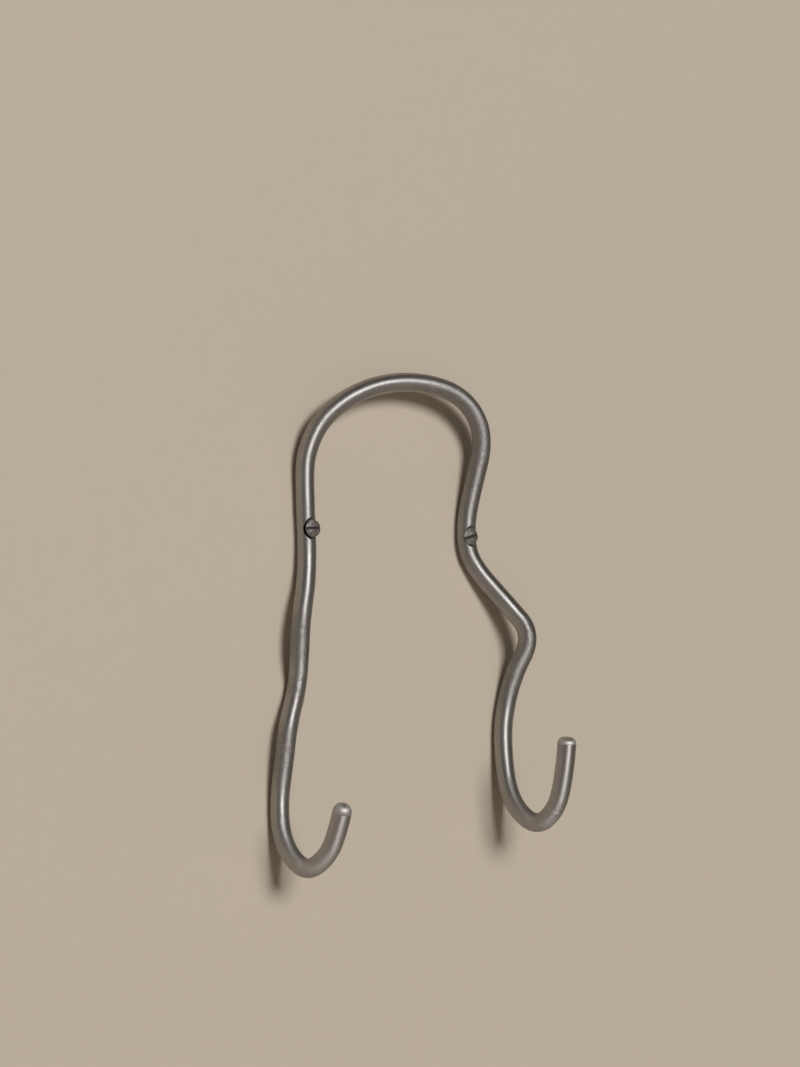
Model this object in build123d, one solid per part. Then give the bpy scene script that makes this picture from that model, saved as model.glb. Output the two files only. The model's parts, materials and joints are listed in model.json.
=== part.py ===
from build123d import *
import math
import os

# Double wall hook: one round steel rod, bent by hand, held on a wall by two slotted screws.
# Millimetres. The wall is the plane y = 0 and the hook stands in front of it, at negative y.
# x runs to the right along the wall and z runs up. The origin lies on the wall, halfway between the screws.

# Rod stock and its two rounded ends
rod_diameter = 6.0
left_end_round = 2.9
right_end_round = 2.1

# Arch over the screws: height of its top corner, and its clear height off the wall
arch_rise = 48.5
arch_lift = 7.0

# Left hook: side step from the screw, drop below it, reach off the wall, rise of the tip
left_hook_shift = 10.0
left_hook_drop = 107.5
left_hook_reach = 38.0
left_tip_rise = 21.0

# Left leg from its foot up: side steps from the screw, drops below it, and lifts off the wall
left_foot_step = 9.5
left_foot_drop = 71.0
left_shin_step = 8.5
left_shin_drop = 62.5
left_shin_lift = 2.5
left_dip_step = 2.9
left_dip_drop = 49.5
left_knee_step = 5.0
left_knee_drop = 40.0
left_knee_lift = 3.8
left_thigh_step = 5.0
left_thigh_drop = 28.5
left_thigh_lift = 4.7
left_straight_run = 13.0

# Right hook, by the same measures
right_hook_shift = 14.0
right_hook_drop = 93.5
right_hook_reach = 39.0
right_tip_rise = 28.5

# Right leg from the screw down, by the same measures
right_straight_run = 4.0
right_thigh_step = 12.8
right_thigh_drop = 21.0
right_thigh_lift = 4.0
right_knee_step = 19.3
right_knee_drop = 31.5
right_knee_lift = 10.0
right_shin_step = 17.6
right_shin_drop = 45.0
right_foot_step = 14.5
right_foot_drop = 58.5

# Bends: the share of the shorter run that each bend takes up
bend_share = 0.45

# Screws: two of a kind, level with each other; the left one isn't driven home and its head stands proud
screw_spacing = 62.0
left_head_proud = 1.4
right_head_proud = 0.0
head_diameter = 5.4
head_land = 0.35
head_dome = 0.7
slot_width = 0.9
slot_depth = 0.9
left_slot_turn = 4.0
right_slot_turn = 18.0
shank_diameter = 2.0
thread_diameter = 2.5
thread_length = 15.0
point_length = 4.0

# Screw holes in the rod: bore clearance over the thread, countersink width at the rod's front line
bore_clearance = 0.4
sink_diameter = 7.0
sink_angle = 90.0
seat_clearance = 0.05

rod_radius = rod_diameter / 2
sink_slope = math.tan(math.radians(sink_angle / 2))
screw_places = [-screw_spacing / 2, screw_spacing / 2]


def at(x, lift, z):
    """Corner of the route, given by the clear height of the rod off the wall."""
    return Vector(x, -(rod_radius + lift), z)


def left_hook_route():
    """From the left tip down through the hook to the foot of its leg."""
    x = -screw_spacing / 2 - left_hook_shift
    bottom = -left_hook_drop
    return [
        at(x - 1.5, left_hook_reach, bottom + left_tip_rise),
        at(x - 1.0, left_hook_reach - 3.5, bottom + left_tip_rise - 7.0),
        at(x, left_hook_reach - 10.0, bottom + 5.5),
        at(x, left_hook_reach / 2 - 2.5, bottom),
        at(x, 6.5, bottom + 4.5),
        at(x + 0.5, 0.0, bottom + 12.5),
        at(x, 0.0, bottom + 23.0),
    ]


def left_leg_route():
    """Up the left leg, which bows off the wall twice, and straight through the left screw."""
    x = -screw_spacing / 2
    return [
        at(x - left_foot_step, left_shin_lift, -left_foot_drop),
        at(x - left_shin_step, left_shin_lift, -left_shin_drop),
        at(x - left_dip_step, -0.5, -left_dip_drop),
        at(x - left_knee_step, left_knee_lift, -left_knee_drop),
        at(x - left_thigh_step, left_thigh_lift, -left_thigh_drop),
        at(x + 0.7, 0.0, -left_straight_run),
        at(x - 0.7, 0.0, left_straight_run),
    ]


def arch_route():
    """Over the arch, which leaves the wall above each screw."""
    left = -screw_spacing / 2
    right = screw_spacing / 2
    return [
        at(left - 1.2, arch_lift - 5.7, arch_rise - 24.0),
        at(left + 3.5, arch_lift - 1.5, arch_rise - 12.0),
        at(left + 19.5, arch_lift, arch_rise - 2.5),
        at(right - 23.5, arch_lift, arch_rise),
        at(right - 6.5, arch_lift + 1.0, arch_rise - 4.0),
        at(right + 3.6, arch_lift - 1.4, arch_rise - 16.0),
        at(right + 1.3, 1.5, 15.0),
    ]


def right_leg_route():
    """Straight through the right screw, out to the knee and back along the wall."""
    x = screw_spacing / 2
    return [
        at(x, 0.0, right_straight_run + 2.0),
        at(x, 0.0, -right_straight_run),
        at(x + 4.2, 0.0, -right_straight_run - 6.8),
        at(x + right_thigh_step, right_thigh_lift, -right_thigh_drop),
        at(x + right_knee_step, right_knee_lift, -right_knee_drop),
        at(x + right_shin_step, 0.6, -right_shin_drop),
        at(x + right_foot_step, 0.0, -right_foot_drop),
    ]


def right_hook_route():
    """From the foot of the right leg through the hook to the right tip."""
    x = screw_spacing / 2 + right_hook_shift
    bottom = -right_hook_drop
    return [
        at(x + 0.5, 0.0, bottom + 24.0),
        at(x, 4.0, bottom + 9.0),
        at(x - 0.5, right_hook_reach / 2 - 1.0, bottom),
        at(x - 2.0, right_hook_reach - 7.0, bottom + 5.5),
        at(x - 2.5, right_hook_reach - 2.0, bottom + right_tip_rise - 11.0),
        at(x - 3.0, right_hook_reach, bottom + right_tip_rise),
    ]


def bend_radii(corners):
    """One radius for each corner between the ends, as large as its two runs allow."""
    radii = []
    for before, corner, after in zip(corners, corners[1:], corners[2:]):
        arriving = corner - before
        leaving = after - corner
        half_turn = math.radians(arriving.get_angle(leaving)) / 2
        shorter_run = min(arriving.length, leaving.length)
        radii.append(bend_share * shorter_run / math.tan(half_turn))
    return radii


def rod_path():
    """Centre line of the rod: straight runs joined by tangent arcs."""
    corners = (
        left_hook_route() + left_leg_route() + arch_route() + right_leg_route() + right_hook_route()
    )
    radii = bend_radii(corners)
    print("bend radii", [round(radius, 1) for radius in radii])
    return FilletPolyline(*corners, radius=radii)


def end_edge(rod, place):
    """The round edge of the rod's cut end at this place."""
    return rod.edges().filter_by(GeomType.CIRCLE).sort_by_distance(place)[0]


def outward_from(x, distance):
    """Plane across a screw, its axis pointing away from the wall, this far in front of the wall."""
    return Plane(origin=(x, -distance, 0), x_dir=(1, 0, 0), z_dir=(0, -1, 0))


def screw_bore(x):
    """Clearance hole right through the rod, opening into a countersink on its front."""
    bore_radius = (thread_diameter + bore_clearance) / 2
    front = rod_diameter
    sink_radius = sink_diameter / 2
    sink_depth = (sink_radius - bore_radius) / sink_slope
    overshoot = rod_radius
    wide_radius = sink_radius + overshoot * sink_slope
    profile = Polyline(
        (0, -overshoot),
        (bore_radius, -overshoot),
        (bore_radius, front - sink_depth),
        (wide_radius, front + overshoot),
        (0, front + overshoot),
        close=True,
    )
    return outward_from(x, 0) * revolve(Plane.XZ * make_face(profile), Axis.Z)


def hook_rod():
    """The bent rod with its rounded ends and screw holes."""
    path = rod_path()
    section = Plane(origin=path @ 0, z_dir=path % 0) * Circle(rod_radius)
    rod = sweep(section, path=path)
    expected = math.pi * rod_radius**2 * path.length
    print("rod length", round(path.length, 1), "volume", round(rod.volume), "expected", round(expected))
    rod = fillet(end_edge(rod, path @ 0), left_end_round)
    rod = fillet(end_edge(rod, path @ 1), right_end_round)
    for x in screw_places:
        rod -= screw_bore(x)
    return rod


def screw(x, slot_turn, proud):
    """One slotted screw: raised countersunk head on the rod, shank through it, thread in the wall."""
    head_radius = head_diameter / 2
    shank_radius = shank_diameter / 2
    thread_radius = thread_diameter / 2
    seat = rod_diameter - (sink_diameter - head_diameter) / 2 / sink_slope + seat_clearance
    rim = seat + proud
    neck = rim - (head_radius - shank_radius) / sink_slope
    brow = rim + head_land
    crown = brow + head_dome
    thread_foot = proud - thread_length
    outline = Polyline(
        (0, thread_foot - point_length),
        (thread_radius, thread_foot),
        (thread_radius, 0),
        (shank_radius, 0),
        (shank_radius, neck),
        (head_radius, rim),
        (head_radius, brow),
    )
    dome_radius = (head_radius**2 + head_dome**2) / (2 * head_dome)
    dome = RadiusArc((head_radius, brow), (0, crown), -dome_radius)
    axis_line = Line((0, crown), (0, thread_foot - point_length))
    profile = make_face(outline.edges() + dome.edges() + axis_line.edges())
    body = revolve(Plane.XZ * profile, Axis.Z)
    slot = Rot(0, 0, slot_turn) * Pos(0, 0, crown) * Box(2 * head_diameter, slot_width, 2 * slot_depth)
    return outward_from(x, 0) * (body - slot)


def wall_screws():
    """Both screws, level with each other."""
    left_x, right_x = screw_places
    left_screw = screw(left_x, left_slot_turn, left_head_proud)
    right_screw = screw(right_x, right_slot_turn, right_head_proud)
    return Compound(children=[left_screw, right_screw])


os.makedirs("parts", exist_ok=True)
export_step(hook_rod(), "parts/hook_rod.step")
export_step(wall_screws(), "parts/wall_screws.step")
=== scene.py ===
# %% [markdown]
# # A double wall hook, bent from one rod
# The real hook is one round steel rod. Somebody bent it by hand into an arch, two wavy legs and two
# upturned hooks, drilled it in two places and screwed it to a wall. This lesson models the rod and its
# screws again with a finer surface than the solid model has, gives them their metal, and lights them on a
# pale wall.

# %% Load the solid model as the fixed frame
import json
import math

import bmesh
import bpy
from mathutils import Matrix, Vector, kdtree


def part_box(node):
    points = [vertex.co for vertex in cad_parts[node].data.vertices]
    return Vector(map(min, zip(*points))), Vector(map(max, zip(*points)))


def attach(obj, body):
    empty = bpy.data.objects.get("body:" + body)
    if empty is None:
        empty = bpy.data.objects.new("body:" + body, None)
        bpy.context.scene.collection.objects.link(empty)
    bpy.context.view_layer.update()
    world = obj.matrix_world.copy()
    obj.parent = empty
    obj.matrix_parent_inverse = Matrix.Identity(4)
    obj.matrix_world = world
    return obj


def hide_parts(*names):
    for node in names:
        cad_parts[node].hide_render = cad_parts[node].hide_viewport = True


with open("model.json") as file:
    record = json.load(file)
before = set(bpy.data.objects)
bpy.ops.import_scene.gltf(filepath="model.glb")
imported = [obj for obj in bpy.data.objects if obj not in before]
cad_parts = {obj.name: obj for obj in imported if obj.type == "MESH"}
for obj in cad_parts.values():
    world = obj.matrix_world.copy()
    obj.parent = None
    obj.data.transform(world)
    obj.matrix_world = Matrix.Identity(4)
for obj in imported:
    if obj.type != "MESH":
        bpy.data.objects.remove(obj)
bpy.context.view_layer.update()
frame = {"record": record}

mm = 0.001

# %% [markdown]
# Two facts come from the solid model, so that the pieces made here can't drift away from it: how far apart
# the screws stand, which its mount states, and how far the proudest screw head stands out from the wall,
# which is the front of the screws' box. That is the left one, which was never driven home. The wall is the
# plane y = 0, and the viewer's side is negative y.

# %% Read the screws' places from the frame
mount = frame["record"]["mounts"][0]
screw_spacing = mount["dims"]["spacing_x_mm"] * mm
screw_x = [-screw_spacing / 2, screw_spacing / 2]
left_proud = 1.4 * mm
crown_out = -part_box("wall_screws")[0].y - left_proud
print("screws at x", screw_x, "crowns", round(crown_out / mm, 2), "mm off the wall, the left one",
      round(left_proud / mm, 2), "mm more")

# %% [markdown]
# By hand you would click a piece, press Tab and pick points with the mouse. In a script the same habits are
# small helpers: one makes a piece the only selected one, two open and close it for editing, and one picks
# its points by their place. Nothing else may stay selected, because an operator acts on all that is. The
# last helper finishes a mesh whose points, faces or corners were left untidy by the steps before.

# %% Helpers for selecting
merge_distance = 0.002 * mm


def only(piece):
    """Selects this piece alone, in object mode."""
    bpy.ops.object.select_all(action="DESELECT")
    piece.select_set(True)
    bpy.context.view_layer.objects.active = piece


def open_in_edit_mode(piece):
    """Opens a piece for editing with nothing on it selected."""
    only(piece)
    bpy.ops.object.mode_set(mode="EDIT")
    bpy.ops.mesh.select_mode(type="VERT")
    bpy.ops.mesh.select_all(action="DESELECT")


def close_edit_mode():
    """Goes back to object mode, which writes the edits to the mesh."""
    bpy.ops.object.mode_set(mode="OBJECT")


def pick(piece, test):
    """In edit mode, selects the points that pass a test of their place, and gives their number."""
    mesh = bmesh.from_edit_mesh(piece.data)
    for vert in mesh.verts:
        vert.select = test(vert.co)
    mesh.select_flush_mode()
    bmesh.update_edit_mesh(piece.data)
    return sum(vert.select for vert in mesh.verts)


def finish_mesh(piece, corner_degrees):
    """Merges doubled points, turns all faces outwards and smooths all but the sharp corners."""
    open_in_edit_mode(piece)
    bpy.ops.mesh.select_all(action="SELECT")
    bpy.ops.mesh.remove_doubles(threshold=merge_distance)
    bpy.ops.mesh.normals_make_consistent(inside=False)
    close_edit_mode()
    bpy.ops.object.shade_smooth_by_angle(angle=math.radians(corner_degrees))


bpy.ops.object.select_all(action="DESELECT")
print("pieces left selected", len(bpy.context.selected_objects))

# %% [markdown]
# ## The line of the rod
# A bent rod is a line with a thickness. Its line could be drawn with Bezier handles, but a bender doesn't
# think in handles: the rod is straight between bends, and each bend eases into the next. A NURBS path with
# a control point at each corner gives that. At order 3 it touches every straight run in its middle and
# rounds every corner. The corners below are those of the solid rod, in millimetres: x, the distance of the
# rod's middle from the wall, and z.

# %% The corners of the rod, from the left tip to the right tip
rod_radius = 3.0 * mm
left_hook_corners = [
    (-42.5, 41.0, -86.5), (-42.0, 37.5, -93.5), (-41.0, 31.0, -102.0), (-41.0, 19.5, -107.5),
    (-41.0, 9.5, -103.0), (-40.5, 3.0, -95.0), (-41.0, 3.0, -84.5),
]
left_leg_corners = [
    (-40.5, 5.5, -71.0), (-39.5, 5.5, -62.5), (-33.9, 2.5, -49.5), (-36.0, 6.8, -40.0),
    (-36.0, 7.7, -28.5), (-30.3, 3.0, -13.0), (-31.7, 3.0, 13.0),
]
arch_corners = [
    (-32.2, 4.3, 24.5), (-27.5, 8.5, 36.5), (-11.5, 10.0, 46.0), (7.5, 10.0, 48.5),
    (24.5, 11.0, 44.5), (34.6, 8.6, 32.5), (32.3, 4.5, 15.0),
]
right_leg_corners = [
    (31.0, 3.0, 6.0), (31.0, 3.0, -4.0), (35.2, 3.0, -10.8), (43.8, 7.0, -21.0),
    (50.3, 13.0, -31.5), (48.6, 3.6, -45.0), (45.5, 3.0, -58.5),
]
right_hook_corners = [
    (45.5, 3.0, -69.5), (45.0, 7.0, -84.5), (44.5, 21.5, -93.5), (43.0, 35.0, -88.0),
    (42.5, 40.0, -76.0), (42.0, 42.0, -65.0),
]
stretches = [left_hook_corners, left_leg_corners, arch_corners, right_leg_corners, right_hook_corners]
corners = [Vector((x, -out, z)) * mm for stretch in stretches for x, out, z in stretch]
print("corners", len(corners))

# %% [markdown]
# Both tips of the rod are rounded, the left one to a full dome and the right one more flatly. The domes are
# added to the tube later, so the line stops short of each tip by the radius of its rounding. A list of the
# points along the line is kept too, because the finish of the metal is measured along it.

# %% Draw the line as a NURBS path
left_end_round = 2.9 * mm
right_end_round = 2.1 * mm
path_order = 3
points_per_corner = 18

left_tip = corners[0].copy()
right_tip = corners[-1].copy()
left_inward = (corners[1] - corners[0]).normalized()
right_inward = (corners[-2] - corners[-1]).normalized()
corners[0] = left_tip + left_inward * left_end_round
corners[-1] = right_tip + right_inward * right_end_round

bpy.ops.curve.primitive_nurbs_path_add(location=(0, 0, 0))
rod = bpy.context.object
rod.name = "bent_rod"
spline = rod.data.splines[0]
spline.points.add(len(corners) - len(spline.points))
for point, place in zip(spline.points, corners):
    point.co = (*place, 1.0)
spline.order_u = path_order
spline.use_endpoint_u = True
rod.data.dimensions = "3D"
rod.data.resolution_u = points_per_corner
line_mesh = bpy.data.meshes.new_from_object(rod)
line = [vert.co.copy() for vert in line_mesh.vertices]
bpy.data.meshes.remove(line_mesh)
line_length = sum((b - a).length for a, b in zip(line, line[1:]))
print("points along the line", len(line), "length mm", round(line_length / mm, 1))

# %% [markdown]
# ## From line to tube
# The path gets a round bevel of the rod's radius and becomes a mesh. Forty-eight points round the section
# keep the outline smooth and let the long highlight run without facets. A bevel resolution of 0 gives four
# points, and each step adds two. Any UV map that the conversion brings is taken off, since a better one is
# made later.

# %% Give the line its thickness
section_points = 48
rod.data.bevel_depth = rod_radius
rod.data.bevel_resolution = (section_points - 4) // 2
only(rod)
bpy.ops.object.convert(target="MESH")
rod = bpy.context.object
while rod.data.uv_layers:
    rod.data.uv_layers.remove(rod.data.uv_layers[0])
print("tube", len(rod.data.vertices), "points")

# %% [markdown]
# ## The rounded tips
# The rod was sawn off and its ends were rounded on a belt, so that coats don't catch. By hand, you would
# select the open ring at an end, extrude it a little, shrink it, and repeat until the ring closes. Each
# step follows a quarter circle.

# %% Close each end with a dome
tip_rings = 9
ring_reach = 1.05 * rod_radius
ring_depth = 0.02 * mm


def round_end(piece, tip, inward, end_round):
    """Extrudes the open ring at one end of the tube in rings that follow a quarter circle."""
    base = tip + inward * end_round

    def on_open_ring(co):
        """Whether a point is on the ring that the tube ends in."""
        return (co - base).length < ring_reach and abs((co - base).dot(inward)) < ring_depth

    open_in_edit_mode(piece)
    ring_points = pick(piece, on_open_ring)
    done, size = 0.0, rod_radius
    for step in range(1, tip_rings + 1):
        angle = math.radians(90 * step / tip_rings)
        reached = end_round * math.sin(angle)
        new_size = rod_radius - end_round * (1 - math.cos(angle))
        bpy.ops.mesh.extrude_region_move(TRANSFORM_OT_translate={"value": inward * (done - reached)})
        centre = base - inward * reached
        bpy.ops.transform.resize(value=(new_size / size,) * 3, center_override=centre)
        done, size = reached, new_size
    bpy.ops.mesh.edge_face_add()
    close_edit_mode()
    return ring_points


left_ring = round_end(rod, left_tip, left_inward, left_end_round)
right_ring = round_end(rod, right_tip, right_inward, right_end_round)
finish_mesh(rod, corner_degrees=60)
print("points on the open rings", left_ring, right_ring)

# %% [markdown]
# ## Hand-bent waviness
# A rod that is bent over a former never stays quite true: its surface rises and falls by a few hundredths
# of a millimetre, which makes the highlight along it wander. A Displace modifier with a soft cloud pattern
# does that before the holes are drilled, so that the holes stay round.

# %% Let the surface wander a little
wave_size = 7 * mm
wave_height = 0.10 * mm

waviness = bpy.data.textures.new("hand_bent_waviness", "CLOUDS")
waviness.noise_scale = wave_size
waviness.noise_depth = 1
wander = rod.modifiers.new("hand bent", "DISPLACE")
wander.texture = waviness
wander.texture_coords = "LOCAL"
wander.strength = wave_height
wander.mid_level = 0.5
only(rod)
bpy.ops.object.modifier_apply(modifier=wander.name)
rod_box = [[round(c / mm, 1) for c in rod.bound_box[corner]] for corner in (0, 6)]
print("rod reaches from", rod_box[0], "to", rod_box[1])

# %% [markdown]
# ## The screw holes
# Each hole is a clear bore with a countersink that is wider than the rod, so its rim runs down both flanks
# of the rod in a saddle. The drill is modelled as a solid: a disc of the bore's size, extruded out to the
# sink's foot and then extruded and widened along the sink's slope. A Boolean takes it out of the rod.

# %% Drill and countersink the rod
bore_radius = 1.45 * mm
sink_radius = 3.5 * mm
sink_slope = math.tan(math.radians(45))
rod_front = 2 * rod_radius
overshoot = rod_radius
round_steps = 72


def cut_out(piece, cutter):
    """Takes a solid out of a piece, and removes that solid."""
    cut = piece.modifiers.new("cut", "BOOLEAN")
    cut.operation = "DIFFERENCE"
    cut.solver = "EXACT"
    cut.object = cutter
    only(piece)
    bpy.ops.object.modifier_apply(modifier=cut.name)
    bpy.data.objects.remove(cutter)


def drill(piece, x):
    """Takes one countersunk hole out of the rod, along y at this x."""
    sink_foot = rod_front - (sink_radius - bore_radius) / sink_slope
    wide_radius = sink_radius + overshoot * sink_slope
    rise = rod_front + overshoot - sink_foot
    widen = wide_radius / bore_radius
    bpy.ops.object.select_all(action="DESELECT")
    bpy.ops.mesh.primitive_circle_add(
        vertices=round_steps, radius=bore_radius, fill_type="NGON",
        location=(x, overshoot, 0), rotation=(math.radians(90), 0, 0),
    )
    drill_solid = bpy.context.object
    bpy.ops.object.transform_apply(location=True, rotation=True, scale=True)
    bpy.ops.object.mode_set(mode="EDIT")
    bpy.ops.mesh.select_all(action="SELECT")
    bpy.ops.mesh.extrude_region_move(TRANSFORM_OT_translate={"value": (0, -overshoot - sink_foot, 0)})
    bpy.ops.mesh.extrude_region_move(TRANSFORM_OT_translate={"value": (0, -rise, 0)})
    bpy.ops.transform.resize(value=(widen,) * 3, center_override=(x, -sink_foot - rise, 0))
    bpy.ops.mesh.select_all(action="SELECT")
    bpy.ops.mesh.normals_make_consistent(inside=False)
    close_edit_mode()
    cut_out(piece, drill_solid)


for x in screw_x:
    drill(rod, x)
print("rod with holes", len(rod.data.vertices), "points")

# %% [markdown]
# A drilled edge is never a perfect knife edge: it was broken with a larger drill, and that narrow band is
# what catches the light in a thin bright line. The slivers that the Boolean left are merged first. Then the
# sharp edges near each screw are picked and bevelled by about a tenth of a millimetre.

# %% Break the edges of the holes
sliver_width = 0.02 * mm
rim_break = 0.12 * mm
hole_reach = 1.2 * sink_radius


def near_screw(co):
    """Whether a place on the rod is within reach of a screw hole."""
    return min(math.hypot(co.x - x, co.z) for x in screw_x) < hole_reach


def pick_sharp_edges(piece, test, degrees):
    """In edit mode, selects the sharp edges whose middle passes a test, and gives their number."""
    bpy.ops.mesh.select_mode(type="EDGE")
    mesh = bmesh.from_edit_mesh(piece.data)
    for edge in mesh.edges:
        middle = (edge.verts[0].co + edge.verts[1].co) / 2
        sharp = len(edge.link_faces) == 2 and edge.calc_face_angle(0.0) > math.radians(degrees)
        edge.select_set(sharp and test(middle))
    bmesh.update_edit_mesh(piece.data)
    return sum(edge.select for edge in mesh.edges)


open_in_edit_mode(rod)
bpy.ops.mesh.select_all(action="SELECT")
bpy.ops.mesh.remove_doubles(threshold=sliver_width)
bpy.ops.mesh.select_all(action="DESELECT")
rim_edges = pick_sharp_edges(rod, near_screw, degrees=25)
bpy.ops.mesh.bevel(offset=rim_break, segments=2, affect="EDGES", clamp_overlap=True)
close_edit_mode()
finish_mesh(rod, corner_degrees=28)
print("edges broken", rim_edges, "rod now", len(rod.data.vertices), "points")

# %% [markdown]
# ## Where each point was before the bending
# The finish on the rod was drawn onto straight bar stock and then bent with it. So each point has to know
# its place on the straight bar. For that the line is measured first. Each of its points gets the length so
# far, the direction of the line, a direction to its side that is carried along without a twist, and how
# sharply the line bends there, taken over a few points to each side.

# %% Measure the line
bend_window = 4


def line_frames(points):
    """Length, direction, side direction and bend at each point of the line."""
    lengths = [0.0]
    for a, b in zip(points, points[1:]):
        lengths.append(lengths[-1] + (b - a).length)
    last = len(points) - 1
    ahead = [(points[min(k + 1, last)] - points[max(k - 1, 0)]).normalized() for k in range(len(points))]
    sides = [ahead[0].orthogonal().normalized()]
    for direction in ahead[1:]:
        side = sides[-1] - direction * sides[-1].dot(direction)
        sides.append(side.normalized())
    bends = []
    for k in range(len(points)):
        a, b = max(k - bend_window, 0), min(k + bend_window, last)
        bends.append((ahead[b] - ahead[a]) / (lengths[b] - lengths[a]))
    return lengths, ahead, sides, bends


lengths, ahead, sides, bends = line_frames(line)
tightest_bend = 1 / max(bend.length for bend in bends)
print("bar length mm", round(lengths[-1] / mm, 1), "tightest bend mm", round(tightest_bend / mm, 1))

# %% [markdown]
# Three attributes are stored on the mesh. The first is the place on the straight bar: two coordinates
# across and one along. A pattern that reads it follows every bend and has no seam. The second says how hard
# the metal was stretched or squeezed there, which is how far it lies from the middle of the bend times the
# bend's sharpness. The third says where the rod has been rubbed dull: over the right shoulder of the arch,
# at both knees and on the left shin. Each of those stretches has a middle, counted along the line from its
# left end, and a reach.

# %% Store the unbent place, the stretch and the rubbing
rubbed_stretches = {
    "left shin": (72 * mm, 13 * mm),
    "left knee": (110 * mm, 11 * mm),
    "right shoulder": (252 * mm, 46 * mm),
    "right knee": (337 * mm, 18 * mm),
}


def rubbed_at(length):
    """How dull the rod is at this length along it: a soft hump over each rubbed stretch."""
    shares = [(length - middle) / reach for middle, reach in rubbed_stretches.values()]
    return sum(max(0.0, 1 - share**2) ** 2 for share in shares)


nearest = kdtree.KDTree(len(line))
for k, place in enumerate(line):
    nearest.insert(place, k)
nearest.balance()
for name, kind in [("unbent", "FLOAT_VECTOR"), ("stretch", "FLOAT"), ("rubbed", "FLOAT")]:
    rod.data.attributes.new(name, kind, "POINT")
unbent, stretch, rubbed = [rod.data.attributes[name] for name in ("unbent", "stretch", "rubbed")]
for vert in rod.data.vertices:
    place, k, _ = nearest.find(vert.co)
    offset = vert.co - place
    across = (offset.dot(sides[k]), offset.dot(ahead[k].cross(sides[k])))
    unbent.data[vert.index].vector = (*across, lengths[k] + offset.dot(ahead[k]))
    stretch.data[vert.index].value = abs(offset.dot(bends[k]))
    rubbed.data[vert.index].value = rubbed_at(lengths[k])
print("most stretch", round(max(spot.value for spot in stretch.data), 2))

# %% [markdown]
# A UV map is made from the unbent places: u runs along the bar and v round it, so that the metal knows
# which way it was polished. A face on the seam, where the angle jumps by a full turn, takes its corners'
# angles from that of its middle. Adding a layer can move the others in memory, so the attribute is fetched
# again.

# %% Lay a UV map along the bar
uv_size = 10 * mm
along_bar = rod.data.uv_layers.new(name="along_bar").uv
unbent = rod.data.attributes["unbent"]
for face in rod.data.polygons:
    spots = [unbent.data[v].vector.copy() for v in face.vertices]
    middle = sum(spots, Vector()) / len(spots)
    face_angle = math.atan2(middle.y, middle.x)
    for loop, spot in zip(face.loop_indices, spots):
        turn = math.remainder(math.atan2(spot.y, spot.x) - face_angle, 2 * math.pi)
        along_bar[loop].vector = (spot.z / uv_size, (face_angle + turn) * rod_radius / uv_size)
print("corners on the UV map", len(along_bar))

# %% [markdown]
# ## One screw, turned and threaded
# The two screws are plain slotted ones with a raised countersunk head. A lathe turned them, so the body is
# a profile that is spun round its axis: the dome, a narrow rim, the cone that seats in the rod, the shank,
# and the part that takes the thread. The screw is made upright, with the start of its thread at z = 0, and
# laid over into the wall at the end.

# %% Work out the profile
head_radius = 2.7 * mm
head_dome = 0.7 * mm
head_land = 0.35 * mm
shank_radius = 1.0 * mm
thread_length = 15.0 * mm
point_length = 4.0 * mm
dome_rings = 8
brow = crown_out - head_dome
rim = brow - head_land
neck = rim - (head_radius - shank_radius) / sink_slope
thread_foot = -(thread_length + point_length)
dome_radius = (head_radius**2 + head_dome**2) / (2 * head_dome)


def dome_height(r):
    """Height of the head's dome at this distance from the screw's axis."""
    return crown_out - dome_radius + math.sqrt(dome_radius**2 - r**2)


dome_radii = [head_radius * step / dome_rings for step in range(dome_rings + 1)]
profile = [(r, dome_height(r)) for r in dome_radii] + [
    (head_radius, rim),
    (shank_radius, neck),
    (shank_radius, 0.0),
    (shank_radius, thread_foot),
    (0.0, thread_foot),
]
print("profile", [(round(r / mm, 2), round(z / mm, 2)) for r, z in profile])

# %% [markdown]
# The profile starts as a small plane that is merged to one point, and that point is extruded corner by
# corner. Its long last run is subdivided into twelve rings for each turn of the thread, and then the whole
# profile is spun round.

# %% Spin the body
pitch = 1.1 * mm
rings_per_turn = 12


def on_thread_run(co):
    """Whether a corner of the profile is an end of the run that takes the thread."""
    return co.x > shank_radius / 2 and co.z < pitch / 2


bpy.ops.object.select_all(action="DESELECT")
bpy.ops.mesh.primitive_plane_add(size=mm, location=(0, 0, 0))
screw = bpy.context.object
screw.name = "left_screw"
bpy.ops.object.mode_set(mode="EDIT")
bpy.ops.mesh.select_mode(type="VERT")
bpy.ops.mesh.select_all(action="SELECT")
bpy.ops.mesh.merge(type="CENTER")
bpy.ops.transform.translate(value=(profile[0][0], 0, profile[0][1]))
for (r, z), (next_r, next_z) in zip(profile, profile[1:]):
    bpy.ops.mesh.extrude_vertices_move(TRANSFORM_OT_translate={"value": (next_r - r, 0, next_z - z)})
pick(screw, on_thread_run)
bpy.ops.mesh.subdivide(number_cuts=round(-thread_foot / pitch * rings_per_turn))
bpy.ops.mesh.select_all(action="SELECT")
bpy.ops.mesh.spin(steps=round_steps, angle=2 * math.pi, center=(0, 0, 0), axis=(0, 0, 1))
close_edit_mode()
finish_mesh(screw, corner_degrees=30)
print("turned body", len(screw.data.vertices), "points")

# %% [markdown]
# The thread could be a bump on a cylinder, but then its outline would be straight. A strip wound by a Screw
# modifier has a true outline, but its ends stay open and have to be cut and closed. Here each point of the
# rings moves in or out by where it lies on the helix, so the skin stays closed. Flanks and crest are given
# as shares of a turn. The thread grows out of the shank over its first turn and tapers to a blunt point at
# its foot.

# %% Cut the thread
crest_radius = 1.25 * mm
root_radius = 0.88 * mm
flank_share = 0.36
crest_share = 0.14
blunt_share = 0.06


def tooth(turn):
    """Height of the thread at this share of a turn, from 0 at its root to 1 at its crest."""
    return max(0.0, min(1.0, turn / flank_share, (2 * flank_share + crest_share - turn) / flank_share))


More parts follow.
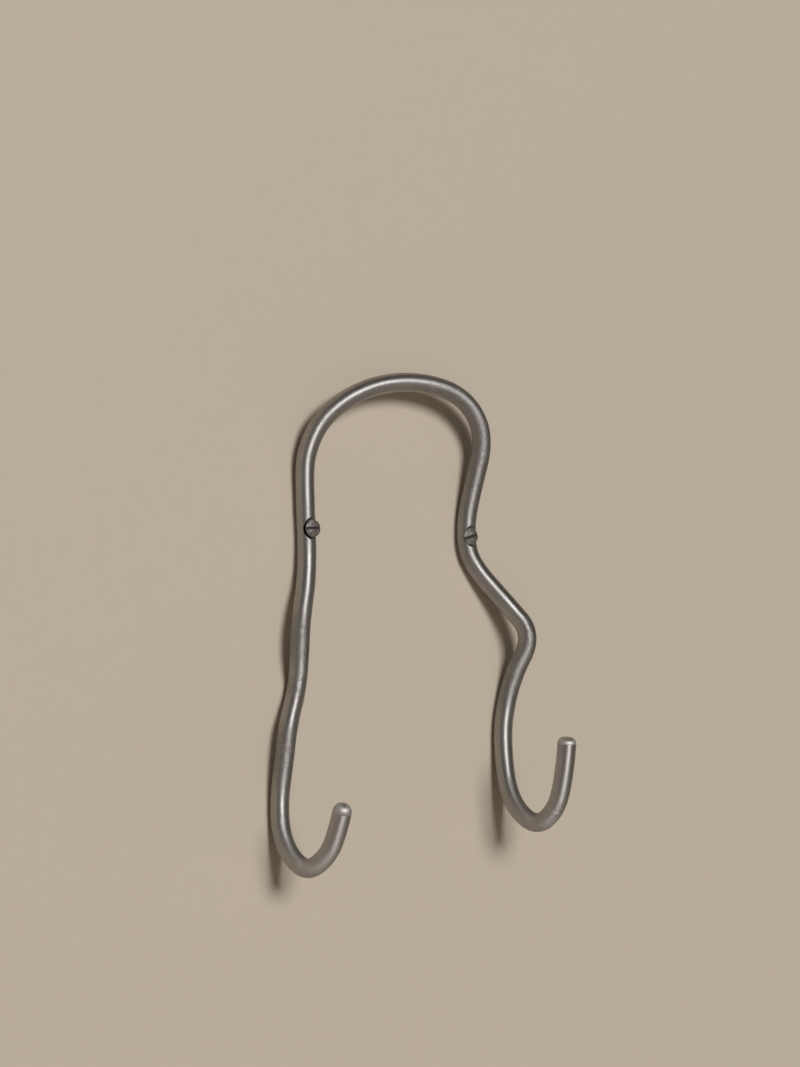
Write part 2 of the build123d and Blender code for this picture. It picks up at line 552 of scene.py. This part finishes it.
for vert in screw.data.vertices:
    if vert.co.z < 0:
        turn = (vert.co.z / pitch - math.atan2(vert.co.y, vert.co.x) / (2 * math.pi)) % 1
        threaded = root_radius + (crest_radius - root_radius) * tooth(turn)
        grown = min(1.0, -vert.co.z / pitch)
        taper = min(1.0, max(blunt_share, (vert.co.z - thread_foot) / point_length))
        widen = taper * (shank_radius + (threaded - shank_radius) * grown) / shank_radius
        vert.co.x *= widen
        vert.co.y *= widen
print("thread of", round(-thread_foot / pitch, 1), "turns")

# %% [markdown]
# The slot is a box cut across the crown. The driver has bruised its edges, so they are bevelled, and the
# rim of the head is broken with them.

# %% Cut the slot
slot_width = 0.9 * mm
slot_depth = 0.9 * mm
slot_break = 0.09 * mm
rim_margin = 0.1 * mm

bpy.ops.object.select_all(action="DESELECT")
bpy.ops.mesh.primitive_cube_add(
    size=1, location=(0, 0, crown_out), scale=(4 * head_radius, slot_width, 2 * slot_depth))
cut_out(screw, bpy.context.object)
open_in_edit_mode(screw)
bruised = pick_sharp_edges(screw, lambda co: co.z > rim - rim_margin, degrees=28)
bpy.ops.mesh.bevel(offset=slot_break, segments=2, affect="EDGES", clamp_overlap=True)
close_edit_mode()
finish_mesh(screw, corner_degrees=30)
print("edges of the slot and rim", bruised)

# %% [markdown]
# The screw is copied, each copy is turned so that its slot lies as it was left by the driver, and both are
# laid over into the wall. The faces inside the slot are noted first, while the head is still upright.

# %% Copy and place the screws
left_slot_turn = 4.0
right_slot_turn = 18.0
floor_margin = 0.05 * mm
side_margin = 0.01 * mm
lip_depth = 0.07 * mm


def in_slot(co):
    """Whether a place on the upright head is on the slot's floor or sides, below the bruised edges."""
    above_floor = co.z > crown_out - slot_depth - floor_margin
    between_sides = abs(co.y) < slot_width / 2 + side_margin
    below_lip = dome_height(math.hypot(co.x, co.y)) - co.z > lip_depth
    return above_floor and between_sides and below_lip


slot_faces = [face.index for face in screw.data.polygons if in_slot(face.center)]
right_screw = screw.copy()
right_screw.data = screw.data.copy()
right_screw.name = "right_screw"
bpy.context.scene.collection.objects.link(right_screw)
screws = [screw, right_screw]
lay_over = Matrix.Rotation(math.radians(90), 4, "X")
for piece, x, turn, proud in zip(screws, screw_x, [left_slot_turn, right_slot_turn], [left_proud, 0.0]):
    slot_turn = Matrix.Rotation(math.radians(turn), 4, "Z")
    piece.data.transform(Matrix.Translation((x, -proud, 0)) @ lay_over @ slot_turn)
    print(piece.name, len(piece.data.vertices), "points")

# %% [markdown]
# ## Colours and nodes
# Colours are written as the hex values that a colour picker shows. A shader wants linear light, so one
# function turns the one into the other. One more small function adds a shader node with its settings and
# its links, and a third starts a material.


# %% Helpers for materials
def linear(hex_colour):
    """Linear colour from an sRGB hex value."""
    shares = [int(hex_colour[k:k + 2], 16) / 255 for k in (1, 3, 5)]
    return (*[s / 12.92 if s <= 0.04045 else ((s + 0.055) / 1.055) ** 2.4 for s in shares], 1.0)


def add(tree, kind, inputs=None, **settings):
    """Adds a node with these settings; each input is a value or the socket that feeds it."""
    node = tree.nodes.new(kind)
    for name, value in settings.items():
        setattr(node, name, value)
    for name, value in (inputs or {}).items():
        if isinstance(value, bpy.types.NodeSocket):
            tree.links.new(value, node.inputs[name])
        else:
            node.inputs[name].default_value = value
    return node


def new_material(name):
    """A new material, its node tree, and the shader that all its nodes feed."""
    material = bpy.data.materials.new(name)
    material.use_nodes = True
    return material, material.node_tree, material.node_tree.nodes["Principled BSDF"]


print("#808080 in linear light", [round(share, 3) for share in linear("#808080")])

# %% [markdown]
# ## Satin stainless steel
# The rod is drawn stainless bar that was satined between belts while it turned, so its finest scratches run
# round it. Over them lie a soft grit and duller patches where it was handled. Where it was bent hard, the
# skin roughened: that starts at a stretch of 6 per cent and is complete at 20. All these patterns read the
# unbent place, so they follow the bar. The scratches are in truth about a twentieth of a millimetre wide;
# they are drawn at a third of a millimetre, so that they show.

# %% Draw the patterns on the bar
scratch_width = 0.35 * mm
scratch_length = 5 * mm
grit_size = 0.75 * mm
patch_size = 11 * mm
marked_stretch = 0.06
rough_stretch = 0.20

rod_steel, tree, shader = new_material("satin_drawn_stainless_steel")
bar = add(tree, "ShaderNodeAttribute", attribute_name="unbent").outputs["Vector"]
hard_bend = add(tree, "ShaderNodeAttribute", attribute_name="stretch").outputs["Fac"]
rubbed_dull = add(tree, "ShaderNodeAttribute", attribute_name="rubbed").outputs["Fac"]
round_bar = add(tree, "ShaderNodeMapping", {
    "Vector": bar, "Scale": (1 / scratch_length, 1 / scratch_length, 1 / scratch_width)}).outputs["Vector"]
scratches = add(tree, "ShaderNodeTexNoise", {
    "Vector": round_bar, "Scale": 1.0, "Detail": 3.0, "Roughness": 0.6}).outputs["Fac"]
grit = add(tree, "ShaderNodeTexNoise", {
    "Vector": bar, "Scale": 1 / grit_size, "Detail": 2.0, "Roughness": 0.55}).outputs["Fac"]
patches = add(tree, "ShaderNodeTexNoise", {
    "Vector": bar, "Scale": 1 / patch_size, "Detail": 2.0, "Roughness": 0.5}).outputs["Fac"]
roughened = add(tree, "ShaderNodeMapRange", {
    "Value": hard_bend, "From Min": marked_stretch, "From Max": rough_stretch, "To Min": 0.0, "To Max": 1.0},
    interpolation_type="SMOOTHSTEP").outputs["Result"]
scratch_tone = add(tree, "ShaderNodeMapRange", {
    "Value": scratches, "From Min": 0.3, "From Max": 0.7, "To Min": 0.0, "To Max": 1.0}).outputs["Result"]
print("pattern sizes mm", [round(size / mm, 2) for size in (scratch_width, grit_size, patch_size)])

# %% [markdown]
# Because the scratches run round the bar, a highlight on it stays narrow across the bar but runs on along
# it, round every bend: the gloss is anisotropic, stretched along u of the UV map. Handling, scratches, hard
# bends and rubbing each add their share of roughness.

# %% Set the gloss of the bar
clean_roughness = 0.51
handled_roughness = 0.575
scratch_dulls = 0.05
bending_dulls = 0.04
rubbing_dulls = 0.19

handled = add(tree, "ShaderNodeMapRange", {
    "Value": patches, "From Min": 0.35, "From Max": 0.65,
    "To Min": clean_roughness, "To Max": handled_roughness}).outputs["Result"]
scratched = add(tree, "ShaderNodeMath", {
    0: scratch_tone, 1: scratch_dulls, 2: handled}, operation="MULTIPLY_ADD").outputs[0]
bent_dull = add(tree, "ShaderNodeMath", {
    0: roughened, 1: bending_dulls, 2: scratched}, operation="MULTIPLY_ADD").outputs[0]
dulled = add(tree, "ShaderNodeMath", {
    0: rubbed_dull, 1: rubbing_dulls, 2: bent_dull}, operation="MULTIPLY_ADD").outputs[0]
polish = add(tree, "ShaderNodeTangent", direction_type="UV_MAP", uv_map="along_bar").outputs["Tangent"]
shader.inputs["Metallic"].default_value = 1.0
shader.inputs["Anisotropic"].default_value = 0.82
tree.links.new(polish, shader.inputs["Tangent"])
tree.links.new(dulled, shader.inputs["Roughness"])
print("roughness from", clean_roughness, "to", handled_roughness, "before it is scratched, bent or rubbed")

# %% [markdown]
# The bar's colour is a warm grey that the scratches vary a little. The grit darkens it in fine pits and
# breaks its surface up, most of all where the rod was bent hard or rubbed. Two bumps, one on the other,
# give the scratches and the grit their depth.

# %% Set the colour and the grain of the bar
bar_dark = "#aeaaa7"
bar_light = "#bbb7b3"
bar_pits = "#7c7774"
scratch_depth = 0.012 * mm
grit_depth = 0.16 * mm

bright_colour = add(tree, "ShaderNodeMix", {
    "Factor": scratch_tone, "A": linear(bar_dark), "B": linear(bar_light)}, data_type="RGBA")
grit_zone = add(tree, "ShaderNodeMath", {0: roughened, 1: rubbed_dull}, operation="MAXIMUM").outputs[0]
grit_share = add(tree, "ShaderNodeMapRange", {
    "Value": grit_zone, "From Min": 0.0, "From Max": 1.0, "To Min": 0.25, "To Max": 0.9}).outputs["Result"]
grit_height = add(tree, "ShaderNodeMath", {0: grit, 1: grit_share}, operation="MULTIPLY").outputs[0]
pits = add(tree, "ShaderNodeMapRange", {
    "Value": grit, "From Min": 0.52, "From Max": 0.64, "To Min": 0.0, "To Max": 0.4}).outputs["Result"]
pit_share = add(tree, "ShaderNodeMath", {0: pits, 1: grit_share}, operation="MULTIPLY").outputs[0]
steel_colour = add(tree, "ShaderNodeMix", {
    "Factor": pit_share, "A": bright_colour.outputs[2], "B": linear(bar_pits)}, data_type="RGBA")
scratch_bump = add(tree, "ShaderNodeBump", {
    "Strength": 0.5, "Distance": scratch_depth, "Height": scratches}).outputs["Normal"]
grit_bump = add(tree, "ShaderNodeBump", {
    "Strength": 1.0, "Distance": grit_depth, "Height": grit_height, "Normal": scratch_bump}).outputs["Normal"]
tree.links.new(steel_colour.outputs[2], shader.inputs["Base Color"])
tree.links.new(grit_bump, shader.inputs["Normal"])
print("material", rod_steel.name, len(tree.nodes), "nodes")

# %% [markdown]
# The two tips were rounded on a belt after the bar was cut, over the end from side to side, so their
# scratches run the other way, from the flank to the middle of the tip. Their metal is a copy of the rod's
# with the gloss turned by a quarter, which spreads the highlight along the rim.

# %% Make the steel of the tips
tip_steel = rod_steel.copy()
tip_steel.name = "belt_rounded_stainless_steel"
shader = tip_steel.node_tree.nodes["Principled BSDF"]
tip_steel.node_tree.links.remove(shader.inputs["Roughness"].links[0])
shader.inputs["Roughness"].default_value = 0.58
shader.inputs["Anisotropic"].default_value = 0.4
shader.inputs["Anisotropic Rotation"].default_value = 0.25
print("material", tip_steel.name, len(tip_steel.node_tree.nodes), "nodes")

# %% [markdown]
# Inside the countersinks the steel is as the drill left it, duller than the bar, and its darker colour
# there is painted shade. The slots of the screws get a near-black matt colour, which is painted shade too.
# Both are small and dark, and they set off the heads.

# %% Make the drilled steel with painted shade and the slots' painted shade
# The drilled steel's colour is darker than the bar's: painted shade in the countersinks, on a duller finish.
countersink_painted_shade_steel, tree, shader = new_material("drilled_steel_with_painted_shade")
shader.inputs["Base Color"].default_value = linear("#8a8582")
shader.inputs["Metallic"].default_value = 1.0
shader.inputs["Roughness"].default_value = 0.5
# The slot's near-black colour is painted shade in the slots of the screws.
slot_painted_shade, tree, shader = new_material("painted_slot_shade")
shader.inputs["Base Color"].default_value = linear("#332d29")
shader.inputs["Roughness"].default_value = 0.8
print("materials", countersink_painted_shade_steel.name, slot_painted_shade.name)

# %% [markdown]
# ## Screw steel
# The screws are plain steel that has gone dull: darker than the rod, mottled where the plating wore
# through, and pitted by the driver. Its pattern reads Object coordinates, so the two screws, which lie in
# different places, don't share their marks.

# %% Make the screws' steel
plating = "#625d59"
worn_steel = "#9c9792"
plating_roughness = 0.76
worn_roughness = 0.62
mottle_size = 0.6 * mm
pit_size = 0.30 * mm
pit_depth = 0.025 * mm

screw_steel, tree, shader = new_material("dull_screw_steel")
place = add(tree, "ShaderNodeTexCoord").outputs["Object"]
pits = add(tree, "ShaderNodeTexNoise", {
    "Vector": place, "Scale": 1 / pit_size, "Detail": 2.0, "Roughness": 0.6}).outputs["Fac"]
mottle = add(tree, "ShaderNodeTexNoise", {
    "Vector": place, "Scale": 1 / mottle_size, "Detail": 4.0, "Roughness": 0.65}).outputs["Fac"]
worn_through = add(tree, "ShaderNodeMapRange", {
    "Value": mottle, "From Min": 0.38, "From Max": 0.62, "To Min": 0.0, "To Max": 1.0}).outputs["Result"]
dull_colour = add(tree, "ShaderNodeMix", {
    "Factor": worn_through, "A": linear(plating), "B": linear(worn_steel)}, data_type="RGBA")
dullness = add(tree, "ShaderNodeMapRange", {
    "Value": mottle, "From Min": 0.35, "From Max": 0.65,
    "To Min": plating_roughness, "To Max": worn_roughness}).outputs["Result"]
pit_bump = add(tree, "ShaderNodeBump", {
    "Strength": 0.8, "Distance": pit_depth, "Height": pits}).outputs["Normal"]
shader.inputs["Metallic"].default_value = 1.0
tree.links.new(dull_colour.outputs[2], shader.inputs["Base Color"])
tree.links.new(dullness, shader.inputs["Roughness"])
tree.links.new(pit_bump, shader.inputs["Normal"])
print("material", screw_steel.name, len(tree.nodes), "nodes")

# %% [markdown]
# ## Dress the pieces
# Each piece takes its metals, rides on the one body of the model, and stands for its solid, which stays in
# place for collision but isn't shown. The solids that the pieces are made after stay in place but are
# hidden. Both screws are made after one node, because it holds the pair.

# %% Materials, bodies and hidden solids
rod_metals = [rod_steel, tip_steel, countersink_painted_shade_steel]
screw_metals = [screw_steel, slot_painted_shade]
for piece, metals, slot_name in [(rod, rod_metals, "rod_steel"), (screw, screw_metals, "screw_steel"),
                                 (right_screw, screw_metals, "screw_steel")]:
    for metal in metals:
        piece.data.materials.append(metal)
    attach(piece, "root")
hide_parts("hook_rod")
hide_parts("wall_screws")
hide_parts("wall_screws")

# %% [markdown]
# Now each face is told which of its piece's metals it shows. A face of the rod whose unbent place lies past
# an end of the line is on a tip. One that is near a screw, and deeper in the rod than its skin, was drilled
# and takes the steel darkened as painted shade. On the screws, the faces noted inside the slot take the
# slot's painted shade.

# %% Share the metals out among the faces
drilled_depth = 0.16 * mm


def rod_metal_at(face, spot):
    """The metal of a face of the rod, whose middle was at this place on the straight bar."""
    if not 0 < spot.z < line_length:
        return tip_steel
    # Faces inside a countersink take the steel darkened as painted shade.
    if near_screw(face.center) and math.hypot(spot.x, spot.y) < rod_radius - drilled_depth:
        return countersink_painted_shade_steel
    return rod_steel


unbent = rod.data.attributes["unbent"]
for face in rod.data.polygons:
    spot = sum((unbent.data[v].vector for v in face.vertices), Vector()) / len(face.vertices)
    face.material_index = rod_metals.index(rod_metal_at(face, spot))
for piece in screws:
    # The faces inside each slot take the slot's painted shade.
    for index in slot_faces:
        piece.data.polygons[index].material_index = screw_metals.index(slot_painted_shade)
rod_faces = [face.material_index for face in rod.data.polygons]
print("faces of the rod with each metal", [rod_faces.count(k) for k in range(len(rod_metals))],
      "dark faces in each slot", len(slot_faces))

# %% [markdown]
# ## The wall and the floor
# The hook hangs on a plain wall, so the wall is its backdrop: a pale plane at y = 0 that takes its shadow.
# It stands back by a hair, so that it doesn't share its plane with the back of the rod. The floor lies well
# below. A pale board stands out of the picture at the left, turned towards the lamp, as in a studio: the
# steel shows it beside the wall, and it is the backdrop when the hook is seen from its right side.

# %% Build the backdrop
wall_size = 8.0
wall_gap = 0.02 * mm
floor_drop = 450 * mm
floor_width = 8.0
floor_depth = 3.3
board_width = 0.6
board_height = 1.3
board_middle = Vector((-1.1, -0.2))
board_turn = 45

upright = (math.radians(90), 0, 0)
bpy.ops.object.select_all(action="DESELECT")
bpy.ops.mesh.primitive_plane_add(
    size=wall_size, location=(0, wall_gap, wall_size / 2 - floor_drop), rotation=upright)
wall = bpy.context.object
wall.name = "wall"
bpy.ops.mesh.primitive_plane_add(size=1, location=(0, -floor_depth / 2, -floor_drop))
floor = bpy.context.object
floor.name = "floor"
floor.scale = (floor_width, floor_depth, 1)
bpy.ops.mesh.primitive_plane_add(size=1, location=(0, 0, 0), rotation=upright)
board = bpy.context.object
board.name = "board"
board.scale = (board_width, board_height, 1)
board.location = (*board_middle, board_height / 2 - floor_drop)
board.rotation_euler.z = math.radians(board_turn)
print("backdrop", wall.name, floor.name, board.name)

# %% [markdown]
# The wall and the floor are painted matt and the board is matt card, which gives the eye an even tone and
# no gloss. Seen from behind, the wall and the board are left transparent, so that the back of the hook can
# be looked at.

# %% Paint the backdrop
wall_colour = "#beb2a2"
board_colour = "#e2e0dd"
floor_colour = "#d6d1c9"
paint_roughness = 0.9

for backdrop, name, colour in [(wall, "pale_wall_paint", wall_colour), (board, "pale_card", board_colour)]:
    paint, tree, shader = new_material(name)
    shader.inputs["Base Color"].default_value = linear(colour)
    shader.inputs["Roughness"].default_value = paint_roughness
    shader.inputs["Specular IOR Level"].default_value = 0.1
    behind = add(tree, "ShaderNodeNewGeometry").outputs["Backfacing"]
    unseen = add(tree, "ShaderNodeBsdfTransparent").outputs[0]
    one_sided = add(tree, "ShaderNodeMixShader", {0: behind, 1: shader.outputs[0], 2: unseen})
    tree.links.new(one_sided.outputs[0], tree.nodes["Material Output"].inputs["Surface"])
    backdrop.data.materials.append(paint)

floor_paint, tree, shader = new_material("pale_floor")
shader.inputs["Base Color"].default_value = linear(floor_colour)
shader.inputs["Roughness"].default_value = paint_roughness
floor.data.materials.append(floor_paint)
print("paints", [backdrop.data.materials[0].name for backdrop in (wall, board, floor)])

# %% [markdown]
# ## The light
# One soft lamp stands nearly straight in front of the wall, a little above the hook, and the room round it
# is dim. That is what draws a metal rod: a bright line where it shows the lamp, dark bands where it shows
# the room, and a paler band where it shows the wall beside it. The lamp's power goes with the square of its
# distance, so the wall stays as bright when the lamp is moved nearer or away.

# %% Set up the lamp and the room
lamp_direction = Vector((-0.07, -1.0, 0.28)).normalized()
lamp_distance = 8.0
lamp_width = 2.65
lamp_height = 2.40
lamp_level = 0.80
room_level = 0.03
room_colour = "#fffaf4"

bpy.ops.object.light_add(type="AREA", location=lamp_direction * lamp_distance)
lamp = bpy.context.object
lamp.name = "soft_lamp"
lamp.rotation_euler = lamp_direction.to_track_quat("Z", "Y").to_euler()
lamp.data.shape = "RECTANGLE"
lamp.data.size = lamp_width
lamp.data.size_y = lamp_height
lamp.data.energy = lamp_level * math.pi**2 * lamp_distance**2

room = bpy.data.worlds.new("dim_room")
bpy.context.scene.world = room
room.use_nodes = True
room.node_tree.nodes["Background"].inputs["Color"].default_value = linear(room_colour)
room.node_tree.nodes["Background"].inputs["Strength"].default_value = room_level
print("lamp watts", round(lamp.data.energy, 1), "room level", room_level)

# %% [markdown]
# ## The camera
# The photograph was taken from the left and slightly from below, through a long lens that hardly lets
# things shrink with distance. The frame is a portrait of 800 by 1067 pixels, and the rod is 18.8 pixels
# wide in it, which gives the height that the frame covers at the wall. In a portrait, Blender lays the
# sensor's width along the height of the frame, so the lens follows from the two.

# %% Place the camera
camera_azimuth = math.radians(-35)
camera_elevation = math.radians(-4)
camera_distance = 1.5
frame_height_px = 1067
rod_width_px = 18.8
frame_centre = Vector((7.04, 0.0, 0.27)) * mm
frame_height = frame_height_px / rod_width_px * 2 * rod_radius

away = Vector((
    math.sin(camera_azimuth) * math.cos(camera_elevation),
    -math.cos(camera_azimuth) * math.cos(camera_elevation),
    math.sin(camera_elevation),
))
bpy.ops.object.camera_add(location=frame_centre + away * camera_distance)
camera = bpy.context.object
camera.rotation_euler = away.to_track_quat("Z", "Y").to_euler()
camera.data.sensor_width = 36
camera.data.lens = camera.data.sensor_width * camera_distance / frame_height
camera.data.clip_start = 0.05
camera.data.clip_end = 50
bpy.context.scene.camera = camera
bpy.context.scene.view_settings.view_transform = "Standard"
print("lens", round(camera.data.lens, 1), "mm")
